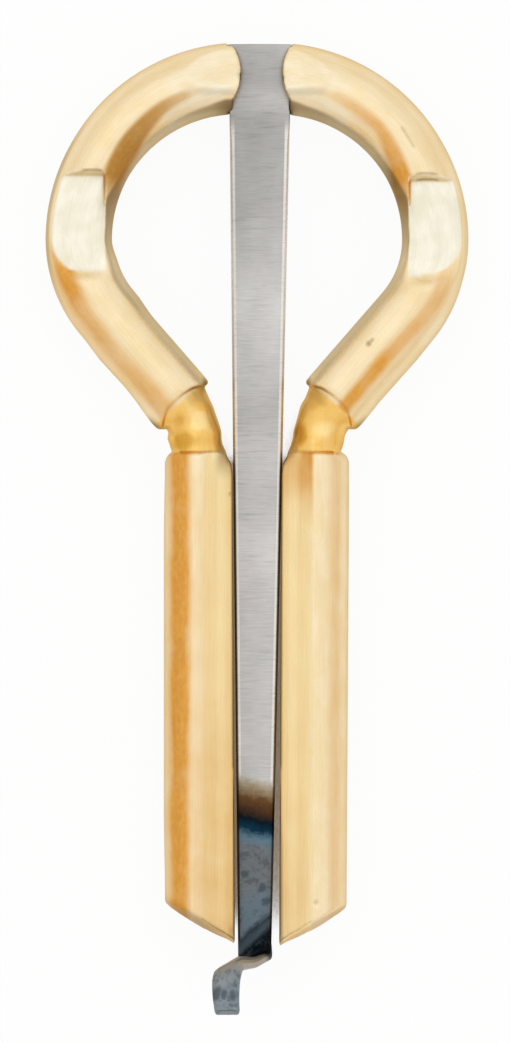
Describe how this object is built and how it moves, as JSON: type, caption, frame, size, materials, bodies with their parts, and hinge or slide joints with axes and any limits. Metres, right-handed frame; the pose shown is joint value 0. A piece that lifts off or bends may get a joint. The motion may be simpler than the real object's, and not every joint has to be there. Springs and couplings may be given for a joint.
{
  "type": "jaw harp",
  "caption": "Jaw harp: a round brass rod bent into a bow with two wedge-shaped arms, and a tapered steel tongue clamped in its head and folded up into a trigger.",
  "frame": {"origin": "under the middle of the whole instrument's length and width, on the surface that its back lies on", "axes": "+X across the bow, to the right as seen from the front; +Y along the tongue, from the trigger to the head; +Z from the back to the front, where the trigger stands up"},
  "size_m": [0.0382, 0.0872, 0.0109],
  "materials": {
    "frame_brass": "polished by hand, fine brushed marks, unpolished at the necks",
    "tongue_steel": "ground across its width, blued by heat near the trigger"
  },
  "bodies": {
    "frame": {"frame": "frame_brass", "tongue_root": "tongue_steel"},
    "tongue": {"tongue": "tongue_steel"}
  },
  "joints": [
    {"name": "tongue_flex", "type": "hinge", "parent": "frame", "child": "tongue", "pos_m": [0.00025, 0.0371, 0.0033], "axis": [1, 0, 0], "range_deg": [-5, 5], "stiffness_Nm_per_rad": 0.8}
  ]
}
